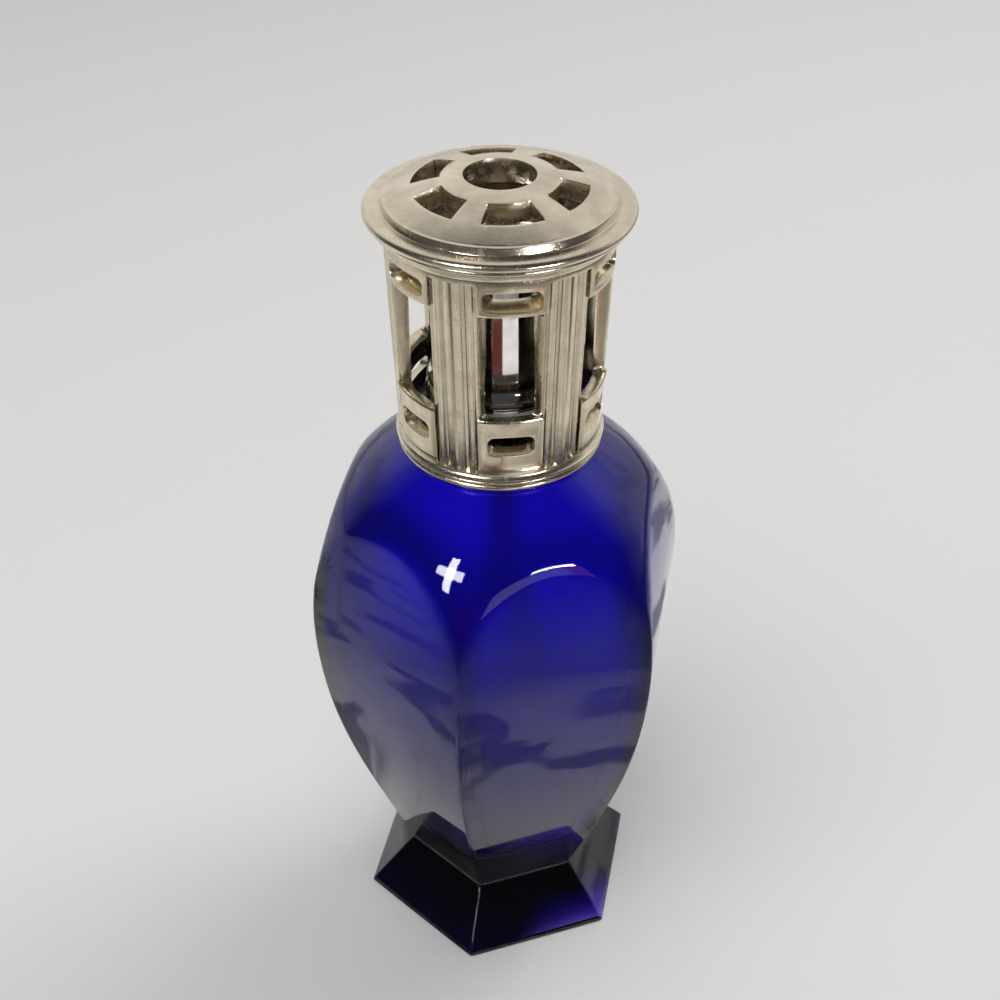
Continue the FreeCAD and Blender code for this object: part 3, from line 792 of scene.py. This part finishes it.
def outside_rings(angles):
    """From the middle of the foot up to the rim and down the bore, as (height, radii)."""
    from_flat = angles + math.pi / SIDES
    foot_low = hexagon_radius(from_flat, FOOT_CORNER * FLAT_SHARE - 0.7, 0.7)
    rings = [(0.0, np.full_like(angles, 0.3)), (0.0, foot_low * 0.6), (0.0, foot_low - 0.35)]
    rings.extend([(0.0, foot_low), (0.12, foot_low + 0.4)])
    stretches = [(0.5, 11.8, 0.7), (11.8, 13.6, 0.12), (13.6, 92.0, 0.9)]
    stretches.extend([(92.0, 118.0, 0.4), (118.0, 124.0, 0.25), (124.0, 126.0, 0.12)])
    rings.extend((z, outer_radius(from_flat, z)) for z in heights(stretches))
    neck_and_bore = [
        (126.1, SHOULDER_PROFILE[-1][0] - 0.6),
        (126.2, NECK_RADIUS + 0.8),
        (126.6, NECK_RADIUS),
        (NECK_TOP - 0.4, NECK_RADIUS),
        (NECK_TOP, NECK_RADIUS - 0.4),
        (NECK_TOP, BORE_RADIUS + 0.4),
        (NECK_TOP - 0.4, BORE_RADIUS),
        (124.4, BORE_RADIUS),
        (123.6, BORE_RADIUS + 0.5),
    ]
    rings.extend((z, np.full_like(angles, radius)) for z, radius in neck_and_bore)
    return rings


def inside_rings(angles):
    """Down the cavity wall and in to the middle of its floor."""
    stretches = [(123.4, 116.0, 0.4), (116.0, 40.0, 1.2), (40.0, INNER_FLOOR, 0.6)]
    rings = [(z, inner_radius(angles + math.pi / SIDES, z)) for z in heights(stretches)]
    last = rings[-1][1]
    rings.extend((INNER_FLOOR, last * share) for share in (0.9, 0.6, 0.3))
    return rings


angles = corner_angles()
outside, inside = outside_rings(angles), inside_rings(angles)
print("rings outside and inside:", len(outside), len(inside))


# %% Bottle mesh
def ring_mesh(name, angles, rings, inner_rows):
    """Rings joined by four-sided faces and closed at both ends. The last rows carry the mark."""
    count = len(angles)
    sin, cos = np.sin(angles), np.cos(angles)
    points = []
    for z, radius in rings:
        points.append(np.stack([radius * sin, -radius * cos, np.full(count, z)], axis=1))
    points = np.concatenate(points) * MM
    faces = []
    for ring in range(len(rings) - 1):
        for i in range(count):
            j = (i + 1) % count
            a, b = ring * count, (ring + 1) * count
            faces.append((a + i, a + j, b + j, b + i))
    faces.append(tuple(reversed(range(count))))
    start = (len(rings) - 1) * count
    faces.append(tuple(range(start, start + count)))
    mesh = bpy.data.meshes.new(name)
    mesh.from_pydata(points.tolist(), [], faces)
    marks = mesh.attributes.new(INNER_MARK, "FLOAT", "POINT")
    inner_start = (len(rings) - inner_rows) * count
    marks.data.foreach_set("value", [float(i >= inner_start) for i in range(len(points))])
    return mesh


def place_piece(mesh, material, body, replaced):
    """An object for a mesh: its material, the body it moves with, and the nodes it stands for."""
    piece = bpy.data.objects.new(mesh.name, mesh)
    mesh.materials.clear()
    mesh.materials.append(material)
    scene.collection.objects.link(piece)
    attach(piece, body)
    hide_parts(*replaced)
    return piece


glass_mesh = ring_mesh("bottle_glass", angles, outside + inside, len(inside))
editable = bmesh.new()
editable.from_mesh(glass_mesh)
bmesh.ops.recalc_face_normals(editable, faces=editable.faces)
editable.to_mesh(glass_mesh)
editable.free()
glass_mesh.shade_smooth()
glass_mesh.set_sharp_from_angle(angle=math.radians(50))
place_piece(glass_mesh, cobalt_glass, "bottle", ["bottle", "bottle_neck"])
print("bottle faces:", len(glass_mesh.polygons))

# %% [markdown]
# ## The metal pieces
# The castings keep the model's exact shape. Real castings have no knife edges, and it is
# the small rounding that catches the light, so a copy of each mesh is welded, freed of
# the seams between flat triangles, and given a narrow bevel.

# %% Soft-edged castings
WELD_DISTANCE = 2e-6
FLAT_ANGLE = math.radians(0.6)
SHARP_ANGLE = math.radians(32)


def soft_edged(node, name, material, body, width):
    """A copy of a model mesh with narrow round edges, their width in mm."""
    mesh = nodes[node].data.copy()
    mesh.name = name
    editable = bmesh.new()
    editable.from_mesh(mesh)
    bmesh.ops.remove_doubles(editable, verts=editable.verts, dist=WELD_DISTANCE)
    bmesh.ops.dissolve_degenerate(editable, edges=editable.edges, dist=WELD_DISTANCE)
    bmesh.ops.dissolve_limit(editable, angle_limit=FLAT_ANGLE, verts=editable.verts, edges=editable.edges)
    editable.to_mesh(mesh)
    editable.free()
    if "custom_normal" in mesh.attributes:
        mesh.attributes.remove(mesh.attributes["custom_normal"])
    mesh.shade_smooth()
    piece = place_piece(mesh, material, body, [node])
    bevel = piece.modifiers.new("edge_round", "BEVEL")
    bevel.width = width * MM
    bevel.segments = 2
    bevel.limit_method = "ANGLE"
    bevel.angle_limit = SHARP_ANGLE
    bevel.use_clamp_overlap = True
    bevel.harden_normals = False
    return piece


cage = soft_edged("shroud_cage", "cage_casting", shaded_cage_nickel, "shroud", 0.24)
soft_edged("vent_plate", "vented_plate", cast_nickel, "shroud", 0.16)
print("cage faces:", len(cage.data.polygons))

# %% [markdown]
# ## Turned rings
# The lid's flange and the ring under the cage are turned shapes. Each is one outline of
# straight steps and round beads, swept once round the axis. Writing the beads as arcs
# keeps them truly round, and the grooves between them stay crisp.


# %% Turned rings
def arc(centre, radius, start, end, steps=10):
    """Arc in the (radius, height) plane, its angles in degrees from the outward direction."""
    angles = [math.radians(start + (end - start) * i / steps) for i in range(steps + 1)]
    return [(centre[0] + radius * math.cos(a), centre[1] + radius * math.sin(a)) for a in angles]


def turned_mesh(name, outline, steps=288):
    """Closed outline of (radius, height) points in mm, swept round the axis."""
    points = []
    for step in range(steps):
        angle = 2 * math.pi * step / steps
        points.extend((r * math.sin(angle) * MM, -r * math.cos(angle) * MM, z * MM) for r, z in outline)
    count = len(outline)
    faces = []
    for step in range(steps):
        here, after = step * count, (step + 1) % steps * count
        for i in range(count):
            j = (i + 1) % count
            faces.append((here + i, here + j, after + j, after + i))
    mesh = bpy.data.meshes.new(name)
    mesh.from_pydata(points, [], faces)
    editable = bmesh.new()
    editable.from_mesh(mesh)
    bmesh.ops.recalc_face_normals(editable, faces=editable.faces)
    editable.to_mesh(mesh)
    editable.free()
    mesh.shade_smooth()
    mesh.set_sharp_from_angle(angle=math.radians(40))
    return mesh


FLANGE_OUTLINE = [
    (17.6, 170.95),
    (21.15, 170.95),
    (21.35, 171.3),
    (21.35, 171.75),
    *arc((21.75, 172.3), 0.35, -120, 70, 8),
    (22.1, 172.75),
    *arc((22.75, 173.4), 0.6, -125, 62, 10),
    (23.15, 174.0),
    *arc((23.42, 174.78), 0.84, -70, 88, 16),
    (22.4, 175.64),
    (21.3, 175.58),
    *arc((21.22, 175.86), 0.28, -90, -172, 6),
    (20.8, 176.45),
    (20.68, 176.95),
    (20.5, 177.02),
    (19.6, 177.0),
    (19.6, 174.0),
    (17.6, 174.0),
]
flange_mesh = turned_mesh("lid_flange", FLANGE_OUTLINE)
place_piece(flange_mesh, cast_nickel, "shroud", ["lid_rim"])

RING_OUTLINE = [
    (17.6, 126.06),
    (18.1, 126.06),
    *arc((19.05, 127.2), 0.78, -110, 65, 12),
    (19.3, 128.0),
    *arc((19.52, 128.4), 0.34, -100, 80, 8),
    (19.42, 128.85),
    (19.95, 128.98),
    (19.98, 129.15),
    *arc((20.6, 130.35), 1.25, 250, 190, 8),
    (19.3, 130.18),
    (17.6, 130.18),
]
foot_ring_mesh = turned_mesh("foot_ring", RING_OUTLINE)
place_piece(foot_ring_mesh, cast_nickel, "shroud", ["base_ring"])
print("turned outlines:", len(FLANGE_OUTLINE), len(RING_OUTLINE))

# %% [markdown]
# ## Stone, cement, gasket and cotton
# The burner is a fired stone full of tiny pores, and the collar sits in plaster cement.
# Both are a pale colour broken by darker grains, with a pitted surface. The silicone
# gasket is the same recipe with hardly any pits. The wick's braid is two sets of slanting
# strands that cross.


# %% Porous materials
def porous_material(name, pale, dark, scale, roughness, depth):
    """Rough, matt material with darker grains and pits of one size."""
    material = bpy.data.materials.new(name)
    material.use_nodes = True
    tree = material.node_tree
    surface = tree.nodes["Principled BSDF"]
    grains = add_node(tree, "ShaderNodeTexVoronoi")
    link(tree, stretched_position(tree, (1, 1, 1)), grains.inputs["Vector"])
    grains.inputs["Scale"].default_value = scale
    clouds = noise(tree, stretched_position(tree, (1, 1, 1)), scale / 6, 5)
    tone = add_node(tree, "ShaderNodeMix", data_type="RGBA")
    tone.inputs["A"].default_value = (*pale, 1)
    tone.inputs["B"].default_value = (*dark, 1)
    link(tree, map_range(tree, clouds, 0.45, 0.75, 0.0, 1.0), tone.inputs["Factor"])
    link(tree, tone.outputs["Result"], surface.inputs["Base Color"])
    rough = map_range(tree, clouds, 0.3, 0.7, roughness - 0.1, roughness)
    link(tree, rough, surface.inputs["Roughness"])
    relief = add_node(tree, "ShaderNodeBump")
    relief.inputs["Strength"].default_value = depth
    relief.inputs["Distance"].default_value = 0.0003
    link(tree, grains.outputs["Distance"], relief.inputs["Height"])
    link(tree, relief.outputs["Normal"], surface.inputs["Normal"])
    return material


def braid_material():
    """White cotton braid: bands that climb to the left and to the right, crossing."""
    material = bpy.data.materials.new("cotton_braid")
    material.use_nodes = True
    tree = material.node_tree
    surface = tree.nodes["Principled BSDF"]
    surface.inputs["Sheen Weight"].default_value = 0.4
    strands = []
    for slant in ((1.0, 1.0, 0.9), (-1.0, -1.0, 0.9)):
        band = add_node(tree, "ShaderNodeTexWave", bands_direction="DIAGONAL")
        link(tree, stretched_position(tree, slant), band.inputs["Vector"])
        band.inputs["Scale"].default_value = 330
        strands.append(band.outputs["Fac"])
    crossing = arithmetic(tree, "MAXIMUM", *strands)
    tone = add_node(tree, "ShaderNodeMix", data_type="RGBA")
    tone.inputs["A"].default_value = (0.62, 0.58, 0.48, 1)
    tone.inputs["B"].default_value = (0.93, 0.91, 0.85, 1)
    link(tree, crossing, tone.inputs["Factor"])
    link(tree, tone.outputs["Result"], surface.inputs["Base Color"])
    link(tree, map_range(tree, crossing, 0.0, 1.0, 0.95, 0.8), surface.inputs["Roughness"])
    relief = add_node(tree, "ShaderNodeBump")
    relief.inputs["Strength"].default_value = 0.6
    relief.inputs["Distance"].default_value = 0.0004
    link(tree, crossing, relief.inputs["Height"])
    link(tree, relief.outputs["Normal"], surface.inputs["Normal"])
    return material


wick_curve.materials.append(braid_material())
print("wick material:", wick_curve.materials[0].name)

# %% [markdown]
# ## Pieces that keep their mesh
# The cap, the collar and the small pieces inside the cage are simple round shapes, and the
# model's own mesh is fine enough for them. They only get a material.

# %% Finishes of the kept pieces
FINISHES = {
    "snuffer_cap": mirror_nickel,
    "neck_collar": mirror_nickel,
    "collar_skirt": spun_metal,
    "burner_sleeve": spun_metal,
    "burner_stone": porous_material(
        "fired_stone", (0.80, 0.75, 0.66), (0.52, 0.46, 0.38), 1900, 0.9, 0.5
    ),
    "collar_cement": porous_material(
        "plaster_cement", (0.82, 0.80, 0.75), (0.66, 0.63, 0.57), 900, 0.85, 0.35
    ),
    "seat_gasket": porous_material(
        "silicone_gasket", (0.78, 0.77, 0.73), (0.66, 0.65, 0.60), 500, 0.5, 0.1
    ),
}
for node, material in FINISHES.items():
    nodes[node].material_slots[0].material = material
print("pieces that keep their mesh:", len(FINISHES))

# %% Finish
scene.view_settings.view_transform = "Standard"
